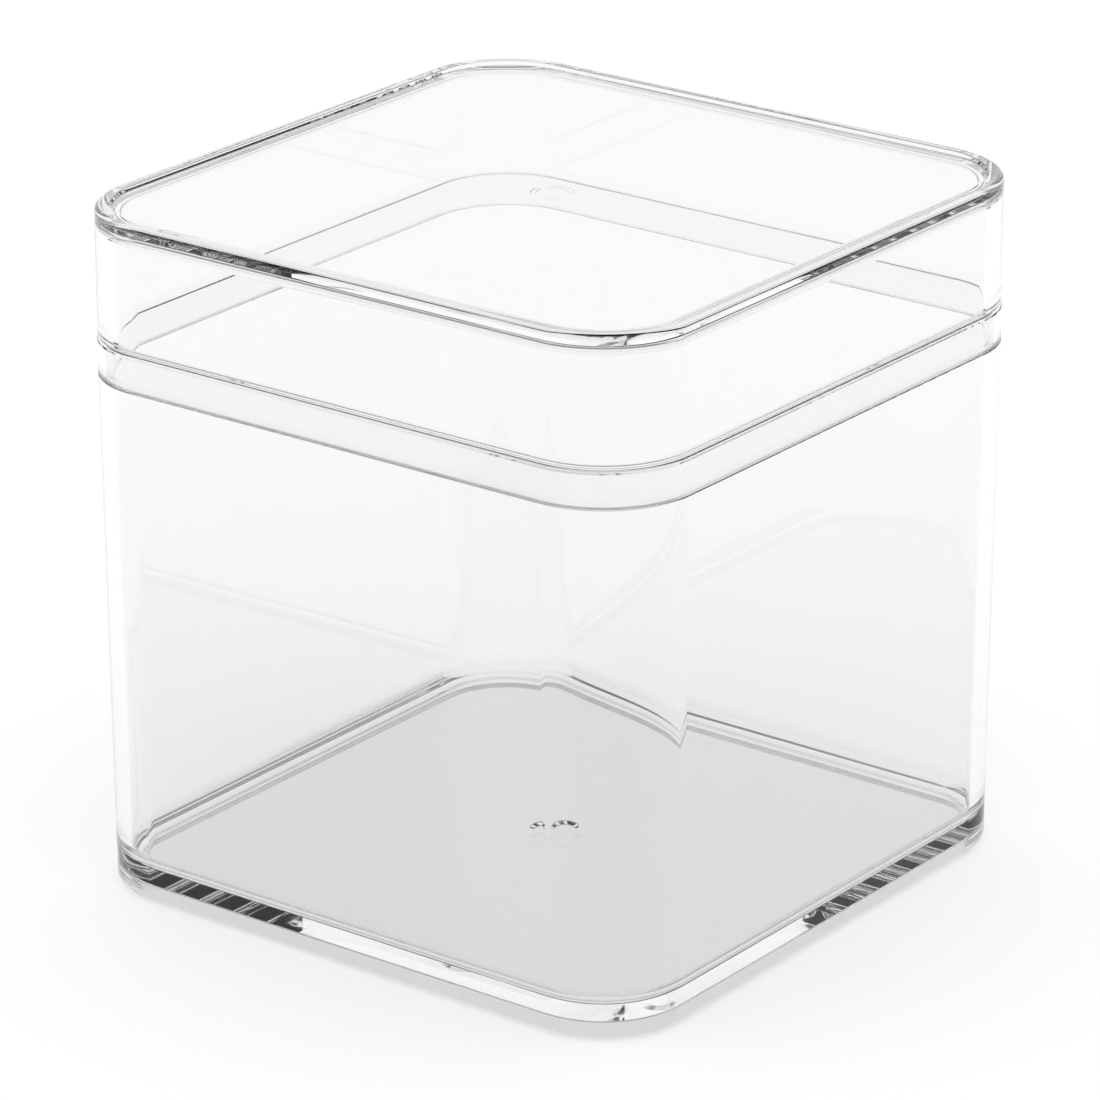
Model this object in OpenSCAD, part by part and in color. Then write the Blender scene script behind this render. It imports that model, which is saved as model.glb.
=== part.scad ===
/* [Outside] */
// Height with the lid on
total_h = 103; // [95:0.5:130]
// Side of the square at the lid's top
box_w = 100; // [90:0.5:120]
// Radius of the vertical corners at the lid's top
corner_r = 14.3; // [12:0.1:18]
// How far each side leans out from the lid's top down to the shoulder
lid_draft = 0.15; // [0.05:0.01:0.3]
// How far each side leans in from the shoulder down to the foot
body_draft = 0.68; // [0.3:0.01:1]
// Height of the shoulder that the lid's skirt rests on
shoulder_z = 78.4; // [60:0.2:82]

/* [Box wall and floor] */
// Thickness of the box's walls
wall_t = 2.2; // [1.8:0.1:3]
// Thickness of the floor
floor_t = 2.3; // [1.5:0.1:4]
// Height of the foot ring under the floor
foot_ring_h = 1.9; // [0.8:0.1:4]
// Width of the foot ring
foot_ring_w = 3.4; // [3:0.1:6]
// Radius of the foot's outer edge
foot_outer_r = 1.5; // [0.3:0.1:1.6]
// Radius of the foot ring's inner edges
foot_inner_r = 0.6; // [0.2:0.1:0.8]
// Radius between the floor and the inside of the walls
floor_r = 3; // [0.5:0.1:6]

/* [Neck and joint] */
// Height of the thin neck above the shoulder
neck_h = 5.2; // [3:0.1:8]
// Thickness of the neck
neck_t = 0.95; // [0.8:0.05:1.2]
// Radius of the neck's two top edges
neck_r = 0.3; // [0.1:0.05:0.35]
// Radius of the small inner edges and corners of the joint
joint_r = 0.2; // [0.1:0.05:0.3]
// Clearance between the neck and the lid's skirt
skirt_fit = 0.1; // [0.05:0.01:0.3]
// Gap between the top of the neck and the lid
neck_gap = 0.4; // [0.2:0.1:1]
// How far the skirt stands out from the lid's upper wall
skirt_step = 0.12; // [0.05:0.01:0.3]

/* [Lid] */
// Thickness of the lid's side wall above the rebate
lid_wall_t = 2.75; // [2.4:0.05:3.5]
// Thickness of the lid's top panel
panel_t = 2; // [1.5:0.1:4]
// Width of the low rim round the lid's top
rim_w = 2.2; // [1.9:0.1:4]
// Height of the rim above the top panel
rim_h = 0.5; // [0.3:0.1:1.2]
// Radius of the rim's outer edge
lid_outer_r = 1; // [0.3:0.1:1.2]
// Radius of the rim's inner edges
rim_inner_r = 0.3; // [0.1:0.05:0.4]
// Radius inside the lid between the panel and the walls
lid_inner_r = 1.4; // [0.5:0.1:4]

/* [Moulding marks] */
// Diameter of the round gate mark in the middle of each panel
gate_d = 6.3; // [4:0.1:10]
// Depth of a gate mark
gate_depth = 0.35; // [0.05:0.05:0.6]

/* [Resolution] */
// Segments of a full turn round the vertical corners
$fn = 64; // [32:4:96]
// Segments of a full turn round the small edges
edge_fn = 20; // [16:4:32]

/* [Hidden] */

lid_top_a = box_w / 2;
shoulder_a = lid_top_a + lid_draft;
foot_a = shoulder_a - body_draft;
corner_c = lid_top_a - corner_r;
corner_pitch = 2 * corner_c;
floor_z = foot_ring_h + floor_t;
neck_top_z = shoulder_z + neck_h;
// The inside face runs straight from the floor to the neck's top
inner_low_a = foot_a - wall_t;
inner_top_a = shoulder_a - wall_t;
neck_a = inner_top_a + neck_t;

skirt_in_a = neck_a + skirt_fit;
rebate_z = neck_top_z + neck_gap;
upper_wall_a = shoulder_a - skirt_step;
step_h = 2 * skirt_step;
lid_inner_a = lid_top_a - lid_wall_t;
panel_top_z = total_h - rim_h;
panel_under_z = panel_top_z - panel_t;
rim_slope = rim_h;

// Points of an arc that rounds the corner at b, between the corners a and c, with radius r
function unit(v) = v / norm(v);
function rounded(a, b, c, r) =
    let (to_a = unit(a - b), to_c = unit(c - b))
    let (half = acos(to_a * to_c) / 2)
    let (centre = b + unit(to_a + to_c) * r / sin(half))
    let (start = b + to_a * r / tan(half) - centre)
    let (turn = sign(to_a.x * to_c.y - to_a.y * to_c.x) * (180 - 2 * half))
    let (steps = max(2, ceil(abs(turn) * edge_fn / 360)))
    [for (i = [0 : steps])
        let (t = -turn * i / steps)
        centre + [start.x * cos(t) - start.y * sin(t), start.x * sin(t) + start.y * cos(t)]];

// A section drawn from the middle of one panel face round the wall to the other face.
// Each corner is [distance from the middle, height, radius], and the two ends have no radius.
function section(corners) =
    let (last = len(corners) - 1)
    let (p = [for (k = corners) [k[0] - corner_c, k[1]]])
    concat(
        [[0, p[0].y]],
        [for (i = [1 : last - 1]) each rounded(p[i - 1], p[i], p[i + 1], corners[i][2])],
        [[0, p[last].y]]);

// The section carried round a square with rounded corners, and the flat panel inside it
module square_shell(corners) {
    outline = section(corners);
    z_a = corners[0][1];
    z_b = corners[len(corners) - 1][1];
    for (turn = [0 : 90 : 270]) {
        rotate(turn) {
            translate([corner_c, corner_c, 0])
                rotate_extrude(angle = 90) polygon(outline);
            translate([corner_c, corner_c, 0]) rotate([90, 0, 0])
                linear_extrude(corner_pitch) polygon(outline);
        }
    }
    translate([-corner_c, -corner_c, min(z_a, z_b)])
        cube([corner_pitch, corner_pitch, abs(z_b - z_a)]);
}

module gate_mark(z) {
    translate([0, 0, z - gate_depth]) cylinder(h = 2 * gate_depth, d = gate_d);
}

// Open box on a foot ring, with a thin neck that stands inside the lid's skirt
module box_body() {
    color([0.94, 0.95, 0.95, 0.4]) difference() {
        square_shell([
            [0, foot_ring_h],
            [foot_a - foot_ring_w, foot_ring_h, foot_inner_r],
            [foot_a - foot_ring_w, 0, foot_inner_r],
            [foot_a, 0, foot_outer_r],
            [shoulder_a, shoulder_z, joint_r],
            [neck_a, shoulder_z, joint_r],
            [neck_a, neck_top_z, neck_r],
            [inner_top_a, neck_top_z, neck_r],
            [inner_low_a, floor_z, floor_r],
            [0, floor_z]
        ]);
        gate_mark(floor_z);
    }
}

// Lid with a rebated skirt that drops over the neck and rests on the shoulder
module lid() {
    color([0.95, 0.96, 0.96, 0.4]) difference() {
        square_shell([
            [0, panel_under_z],
            [lid_inner_a, panel_under_z, lid_inner_r],
            [lid_inner_a, rebate_z, joint_r],
            [skirt_in_a, rebate_z, joint_r],
            [skirt_in_a, shoulder_z, joint_r + skirt_fit],
            [shoulder_a, shoulder_z, joint_r],
            [shoulder_a, neck_top_z - step_h, skirt_step / 2],
            [upper_wall_a, neck_top_z, skirt_step / 2],
            [lid_top_a, total_h, lid_outer_r],
            [lid_top_a - rim_w, total_h, rim_inner_r],
            [lid_top_a - rim_w - rim_slope, panel_top_z, rim_inner_r],
            [0, panel_top_z]
        ]);
        gate_mark(panel_under_z);
    }
}

box_body();
lid();
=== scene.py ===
import math

import bpy
import numpy as np
from mathutils import Matrix


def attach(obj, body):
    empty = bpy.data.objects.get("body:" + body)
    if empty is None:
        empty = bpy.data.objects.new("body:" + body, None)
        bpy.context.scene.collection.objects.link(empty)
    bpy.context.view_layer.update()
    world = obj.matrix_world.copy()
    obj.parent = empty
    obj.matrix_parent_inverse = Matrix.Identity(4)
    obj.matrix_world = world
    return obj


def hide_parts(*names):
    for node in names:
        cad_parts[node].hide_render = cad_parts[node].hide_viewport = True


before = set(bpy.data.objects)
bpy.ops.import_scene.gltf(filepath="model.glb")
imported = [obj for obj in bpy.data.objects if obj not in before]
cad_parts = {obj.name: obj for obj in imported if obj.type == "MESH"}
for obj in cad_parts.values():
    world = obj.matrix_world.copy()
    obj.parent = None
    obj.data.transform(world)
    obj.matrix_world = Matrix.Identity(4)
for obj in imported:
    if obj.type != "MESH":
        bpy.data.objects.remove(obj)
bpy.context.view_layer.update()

MM = 0.001

# Sizes of the mouldings in millimetres, the same as the CAD nodes have. A name that ends in A is
# a distance from the middle to a side, and one that ends in R is a radius.
TOTAL_H = 103.0
LID_TOP_A = 50.0
LID_DRAFT = 0.15
BODY_DRAFT = 0.68
SHOULDER_A = LID_TOP_A + LID_DRAFT
FOOT_A = SHOULDER_A - BODY_DRAFT
CORNER_R = 14.3
CORNER_C = LID_TOP_A - CORNER_R
SHOULDER_Z = 78.4
WALL = 2.2
FLOOR = 2.3
FLOOR_R = 3.0
FOOT_H = 1.9
FOOT_W = 3.4
FOOT_OUTER_R = 1.5
FOOT_INNER_R = 0.6
NECK_H = 5.2
NECK = 0.95
NECK_R = 0.3
JOINT_R = 0.2
SKIRT_FIT = 0.1
NECK_GAP = 0.4
SKIRT_STEP = 0.12
LID_WALL = 2.75
LID_OUTER_R = 1.0
LID_INNER_R = 1.4
PANEL = 2.0
RIM_W = 2.2
RIM_H = 0.5
RIM_INNER_R = 0.3
GATE_R = 3.15
GATE_DEPTH = 0.35

# Sizes that only the visible mouldings have: the gate marks' soft edge, the finer radius between
# shoulder and neck, and the lift of the lid's skirt off the shoulder, so that the two clear faces
# don't lie in one plane
GATE_EDGE_R = 0.9
SHOULDER_INNER_R = 0.1
SEAT_FILM = 0.06

# Steps round a quarter of a small edge, and round each vertical corner
EDGE_STEPS = 6
CORNER_STEPS = 24

# Camera as fitted to the photograph, which is 1100 pixels wide and high: angles in degrees, and
# distances in millimetres
PHOTO_PX = 1100
FOCAL_PX = 6014.15
CAMERA_AZIMUTH = 37.27
CAMERA_ELEVATION = 21.15
CAMERA_ROLL = -0.13
CAMERA_DISTANCE = 868.28
CAMERA_OFF_RIGHT = -0.46
CAMERA_OFF_UP = -3.40
SENSOR_MM = 36.0
CLIP_END_M = 100.0

# Clear plastic: its tint and index, the strength and depth in metres of its faint waves, and how
# many waves a metre of each moulding has
PLASTIC_TINT = (0.945, 0.948, 0.950, 1.0)
PLASTIC_INDEX = 1.49
WAVE_STRENGTH = 0.05
WAVE_DEPTH_M = 0.0002
BOX_WAVES = 35.0
LID_WAVES = 30.0

# Pale sheet: half its side and its place under the foot in metres, its grey, and its own painted
# glow: the sheet emits light though it is no lamp, which lightens the object's shadow on it
SHEET_HALF_M = 1.5
SHEET_DROP_M = 0.0002
SHEET_GREY = 0.44
SHEET_PAINTED_GLOW = 0.64

# The dark flags beside the object: from where to where across the view they begin, and their level
FLAG_EDGE = (0.70, 0.77)
FLAG_LEVEL = 0.03
# The room behind the camera: from where to where it darkens, and how bright it is
ROOM_EDGE = (0.0, 0.6)
ROOM_LEVEL = 0.4
# The ceiling: the same, by the upward part of a direction
CEILING_EDGE = (0.4, 0.8)
CEILING_LEVEL = 0.25

# How often light may pass a clear face, and be mirrored by one
CLEAR_BOUNCES = 48
GLOSS_BOUNCES = 32


def unit(vector):
    """The vector at length 1."""
    return vector / np.hypot(*vector)


def rounded_rows(corners):
    """Section rows of distance, height and outward normal: each corner (distance, height, radius)
    becomes an arc tangent to the two lines that meet there, and the two ends stay as they are."""
    points = np.array([corner[:2] for corner in corners], float)
    first = unit(points[1] - points[0])
    rows = [np.array([[*points[0], first[1], -first[0]]])]
    for before, here, after, corner in zip(points[:-2], points[1:-1], points[2:], corners[1:-1]):
        radius = corner[2]
        arriving = unit(here - before)
        leaving = unit(after - here)
        side = np.sign(arriving[0] * leaving[1] - arriving[1] * leaving[0])
        turn = math.acos(float(np.clip(arriving @ leaving, -1, 1)))
        start = here - arriving * radius * math.tan(turn / 2)
        centre = start + np.array([-arriving[1], arriving[0]]) * radius * side
        steps = max(2, math.ceil(EDGE_STEPS * turn / (math.pi / 2)))
        angle = math.atan2(*(start - centre)[::-1]) + side * np.linspace(0, turn, steps + 1)
        ray = np.stack([np.cos(angle), np.sin(angle)], axis=1)
        rows.append(np.hstack([centre + radius * ray, side * ray]))
    last = unit(points[-1] - points[-2])
    rows.append(np.array([[*points[-1], last[1], -last[0]]]))
    return np.vstack(rows)


def moulded_shell(name, corners):
    """Clear moulding: the section's rows are carried round a square with round corners. Row (a, z)
    gives the points (sx*c + (a-c)*cos t, sy*c + (a-c)*sin t, z), where c is the corner centres'
    distance, sx and sy are the corner's signs and t runs a quarter turn in each corner. Rows
    nearer to the middle than the gate mark's diameter are circles of radius a, and the two end
    rows are poles."""
    rows = rounded_rows(corners)
    quarter = np.linspace(0, math.pi / 2, CORNER_STEPS + 1)
    signs = np.repeat(np.array([[1, 1], [-1, 1], [-1, -1], [1, -1]], float), len(quarter), axis=0)
    angle = (quarter[None, :] + np.arange(4)[:, None] * math.pi / 2).ravel()
    round_count = len(angle)
    a, z, normal_a, normal_z = (column[1:-1, None] for column in rows.T)
    polar = (np.arange(round_count) + 0.5) * 2 * math.pi / round_count
    circle = a < 2 * GATE_R
    x = np.where(circle, a * np.cos(polar), signs[:, 0] * CORNER_C + (a - CORNER_C) * np.cos(angle))
    y = np.where(circle, a * np.sin(polar), signs[:, 1] * CORNER_C + (a - CORNER_C) * np.sin(angle))
    heading = np.where(circle, polar, angle)
    ring = np.stack([x, y, np.broadcast_to(z, x.shape)], axis=2).reshape(-1, 3)
    ring_normals = np.stack([normal_a * np.cos(heading), normal_a * np.sin(heading),
                             np.broadcast_to(normal_z, x.shape)], axis=2).reshape(-1, 3)
    start_pole, end_pole = len(ring), len(ring) + 1
    points = np.vstack([ring, [0, 0, rows[0, 1]], [0, 0, rows[-1, 1]]]) * MM
    normals = np.vstack([ring_normals, [0, 0, np.sign(rows[0, 3])], [0, 0, np.sign(rows[-1, 3])]])
    here = np.arange(round_count)
    there = np.roll(here, -1)
    base = (np.arange(len(a) - 1) * round_count)[:, None]
    quads = np.stack([base + here, base + there, base + there + round_count,
                      base + here + round_count], axis=2).reshape(-1, 4)
    top = (len(a) - 1) * round_count
    start_fan = np.stack([np.full(round_count, start_pole), there, here], axis=1)
    end_fan = np.stack([here + top, there + top, np.full(round_count, end_pole)], axis=1)
    mesh = bpy.data.meshes.new(name)
    mesh.from_pydata(points.tolist(), [], quads.tolist() + start_fan.tolist() + end_fan.tolist())
    mesh.polygons.foreach_set("use_smooth", np.ones(len(mesh.polygons), bool))
    mesh.update()
    mesh.normals_split_custom_set_from_vertices(normals.tolist())
    piece = bpy.data.objects.new(name, mesh)
    bpy.context.scene.collection.objects.link(piece)
    return piece


def box_corners():
    """The box's section from the foot's hollow out round the foot, up the wall and over the neck,
    and down the inside to the floor."""
    inner_top = SHOULDER_A - WALL
    neck = inner_top + NECK
    neck_top = SHOULDER_Z + NECK_H
    floor_z = FOOT_H + FLOOR
    return [
        (0, FOOT_H),
        (FOOT_A - FOOT_W, FOOT_H, FOOT_INNER_R),
        (FOOT_A - FOOT_W, 0, FOOT_INNER_R),
        (FOOT_A, 0, FOOT_OUTER_R),
        (SHOULDER_A, SHOULDER_Z, JOINT_R),
        (neck, SHOULDER_Z, SHOULDER_INNER_R),
        (neck, neck_top, NECK_R),
        (inner_top, neck_top, NECK_R),
        (FOOT_A - WALL, floor_z, FLOOR_R),
        (GATE_R, floor_z, GATE_EDGE_R),
        (GATE_R - GATE_EDGE_R, floor_z - GATE_DEPTH, GATE_EDGE_R),
        (0, floor_z - GATE_DEPTH),
    ]


def lid_corners():
    """The lid's section from under the panel down the inside, round the rebate and the skirt, and
    up the outside over the rim to the panel's top."""
    skirt_in = SHOULDER_A - WALL + NECK + SKIRT_FIT
    neck_top = SHOULDER_Z + NECK_H
    rebate_z = neck_top + NECK_GAP
    skirt_z = SHOULDER_Z + SEAT_FILM
    panel_top = TOTAL_H - RIM_H
    panel_under = panel_top - PANEL
    return [
        (0, panel_under + GATE_DEPTH),
        (GATE_R - GATE_EDGE_R, panel_under + GATE_DEPTH, GATE_EDGE_R),
        (GATE_R, panel_under, GATE_EDGE_R),
        (LID_TOP_A - LID_WALL, panel_under, LID_INNER_R),
        (LID_TOP_A - LID_WALL, rebate_z, JOINT_R),
        (skirt_in, rebate_z, JOINT_R),
        (skirt_in, skirt_z, JOINT_R + SKIRT_FIT),
        (SHOULDER_A, skirt_z, JOINT_R),
        (SHOULDER_A, neck_top - 2 * SKIRT_STEP, SKIRT_STEP / 2),
        (SHOULDER_A - SKIRT_STEP, neck_top, SKIRT_STEP / 2),
        (LID_TOP_A, TOTAL_H, LID_OUTER_R),
        (LID_TOP_A - RIM_W, TOTAL_H, RIM_INNER_R),
        (LID_TOP_A - RIM_W - RIM_H, panel_top, RIM_INNER_R),
        (0, panel_top),
    ]


def clear_moulded_plastic(name, waves_per_metre):
    """Clear polished acrylic: smooth glass of the plastic's index, with a slight tint and the
    faint waviness that cooling leaves in a moulded wall."""
    material = bpy.data.materials.new(name)
    material.use_nodes = True
    nodes, links = material.node_tree.nodes, material.node_tree.links
    plastic = nodes["Principled BSDF"]
    plastic.inputs["Base Color"].default_value = PLASTIC_TINT
    plastic.inputs["IOR"].default_value = PLASTIC_INDEX
    plastic.inputs["Roughness"].default_value = 0.0
    plastic.inputs["Transmission Weight"].default_value = 1.0
    place = nodes.new("ShaderNodeTexCoord")
    waves = nodes.new("ShaderNodeTexNoise")
    waves.inputs["Scale"].default_value = waves_per_metre
    waves.inputs["Detail"].default_value = 1.0
    bump = nodes.new("ShaderNodeBump")
    bump.inputs["Strength"].default_value = WAVE_STRENGTH
    bump.inputs["Distance"].default_value = WAVE_DEPTH_M
    links.new(place.outputs["Object"], waves.inputs["Vector"])
    links.new(waves.outputs["Fac"], bump.inputs["Height"])
    links.new(bump.outputs["Normal"], plastic.inputs["Normal"])
    return material


def dress(piece, body, node, material):
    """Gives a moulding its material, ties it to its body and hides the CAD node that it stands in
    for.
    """
    piece.data.materials.append(material)
    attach(piece, body)
    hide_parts(node)


def photo_camera():
    """Camera at the photograph's angle: it looks along -d, where d points from the object's middle
    to the camera, with the fitted roll and small offsets across the view."""
    azimuth, elevation, roll = map(math.radians, (CAMERA_AZIMUTH, CAMERA_ELEVATION, CAMERA_ROLL))
    back = np.array([math.sin(azimuth) * math.cos(elevation),
                     -math.cos(azimuth) * math.cos(elevation), math.sin(elevation)])
    level_right = np.array([math.cos(azimuth), math.sin(azimuth), 0.0])
    level_up = np.cross(back, level_right)
    right = level_right * math.cos(roll) + level_up * math.sin(roll)
    up = -level_right * math.sin(roll) + level_up * math.cos(roll)
    middle = np.array([0, 0, TOTAL_H / 2])
    place = middle + back * CAMERA_DISTANCE + right * CAMERA_OFF_RIGHT + up * CAMERA_OFF_UP
    lens = bpy.data.cameras.new("photo_camera")
    camera = bpy.data.objects.new("photo_camera", lens)
    bpy.context.scene.collection.objects.link(camera)
    matrix = Matrix.Identity(4)
    for row in range(3):
        matrix[row][0], matrix[row][1], matrix[row][2] = right[row], up[row], back[row]
        matrix[row][3] = place[row] * MM
    camera.matrix_world = matrix
    lens.sensor_width = SENSOR_MM
    lens.lens = FOCAL_PX * SENSOR_MM / PHOTO_PX
    lens.clip_end = CLIP_END_M
    bpy.context.scene.camera = camera


def floor_sheet():
    """Pale sheet under the object: a plain square of four points. Its grey and a painted glow of
    its own, which is no lamp, come to white in open light. The glow also lightens the object's
    shadow on the sheet and the floor seen through the box, so that shadow stays only faint."""
    square = [(-1, -1), (1, -1), (1, 1), (-1, 1)]
    mesh = bpy.data.meshes.new("floor_sheet")
    mesh.from_pydata([(SHEET_HALF_M * x, SHEET_HALF_M * y, -SHEET_DROP_M) for x, y in square], [],
                     [(0, 1, 2, 3)])
    sheet = bpy.data.objects.new("floor_sheet", mesh)
    bpy.context.scene.collection.objects.link(sheet)
    material = bpy.data.materials.new("pale_sheet")
    material.use_nodes = True
    glowing_paper = material.node_tree.nodes["Principled BSDF"]
    glowing_paper.inputs["Base Color"].default_value = (SHEET_GREY, SHEET_GREY, SHEET_GREY, 1.0)
    glowing_paper.inputs["Roughness"].default_value = 1.0
    glowing_paper.inputs["Specular IOR Level"].default_value = 0.0
    # Painted glow: the sheet emits light though it is no lamp, so the shade under and around the
    # object stays faint and the sheet lights the object from below
    glowing_paper.inputs["Emission Color"].default_value = (1.0, 1.0, 1.0, 1.0)
    glowing_paper.inputs["Emission Strength"].default_value = SHEET_PAINTED_GLOW
    mesh.materials.append(material)


def studio_world():
    """White studio all round, with a dark flag on each side of the camera's line, a dimmer room
    behind the camera and a dimmer ceiling. A direction is dark where its part across the view is
    over the flag's edge. The camera and matt surfaces see plain white, so that the background and
    the light on the sheet stay even, and only the clear walls mirror and bend the dark parts."""
    world = bpy.data.worlds.new("studio")
    bpy.context.scene.world = world
    world.use_nodes = True
    nodes, links = world.node_tree.nodes, world.node_tree.links
    nodes.clear()

    def number(operation, first, second):
        """A Math node of two inputs, each a number or another node's output."""
        node = nodes.new("ShaderNodeMath")
        node.operation = operation
        for socket, value in zip(node.inputs, (first, second)):
            if isinstance(value, (int, float)):
                socket.default_value = value
            else:
                links.new(value, socket)
        return node.outputs[0]

    def fade(value, edge, level):
        """1 up to the edge's first value, then smoothly down to the level at its second."""
        node = nodes.new("ShaderNodeMapRange")
        node.interpolation_type = "SMOOTHSTEP"
        node.inputs["From Min"].default_value, node.inputs["From Max"].default_value = edge
        node.inputs["To Min"].default_value = 1.0
        node.inputs["To Max"].default_value = level
        links.new(value, node.inputs["Value"])
        return node.outputs[0]

    sine, cosine = math.sin(math.radians(CAMERA_AZIMUTH)), math.cos(math.radians(CAMERA_AZIMUTH))
    direction = nodes.new("ShaderNodeTexCoord")
    split = nodes.new("ShaderNodeSeparateXYZ")
    links.new(direction.outputs["Generated"], split.inputs[0])
    across = number("ADD", number("MULTIPLY", split.outputs[0], cosine),
                    number("MULTIPLY", split.outputs[1], sine))
    towards = number("SUBTRACT", number("MULTIPLY", split.outputs[0], sine),
                     number("MULTIPLY", split.outputs[1], cosine))
    flag = fade(number("ABSOLUTE", across, 0.0), FLAG_EDGE, FLAG_LEVEL)
    room = fade(towards, ROOM_EDGE, ROOM_LEVEL)
    ceiling = fade(split.outputs[2], CEILING_EDGE, CEILING_LEVEL)
    seen = number("MULTIPLY", number("MULTIPLY", flag, room), ceiling)
    ray = nodes.new("ShaderNodeLightPath")
    plain = number("MAXIMUM", ray.outputs["Is Camera Ray"], ray.outputs["Is Diffuse Ray"])
    strength = nodes.new("ShaderNodeMix")
    strength.data_type = "FLOAT"
    links.new(plain, strength.inputs[0])
    links.new(seen, strength.inputs[2])
    strength.inputs[3].default_value = 1.0
    sky = nodes.new("ShaderNodeBackground")
    sky.inputs["Color"].default_value = (1.0, 1.0, 1.0, 1.0)
    links.new(strength.outputs[0], sky.inputs["Strength"])
    output = nodes.new("ShaderNodeOutputWorld")
    links.new(sky.outputs[0], output.inputs["Surface"])


def clear_light_paths():
    """Lets light pass all the walls of a clear box in a box, with its caustics."""
    paths = bpy.context.scene.cycles
    paths.max_bounces = CLEAR_BOUNCES
    paths.transmission_bounces = CLEAR_BOUNCES
    paths.glossy_bounces = GLOSS_BOUNCES
    paths.transparent_max_bounces = GLOSS_BOUNCES
    paths.caustics_refractive = True
    paths.caustics_reflective = True


bpy.context.scene.view_settings.view_transform = "Standard"
photo_camera()
floor_sheet()
studio_world()
clear_light_paths()
box_shell = moulded_shell("clear_box", box_corners())
lid_shell = moulded_shell("clear_lid", lid_corners())
box_plastic = clear_moulded_plastic("clear_box_plastic", BOX_WAVES)
lid_plastic = clear_moulded_plastic("clear_lid_plastic", LID_WAVES)
dress(box_shell, "box", "box_body", box_plastic)
dress(lid_shell, "lid", "lid", lid_plastic)
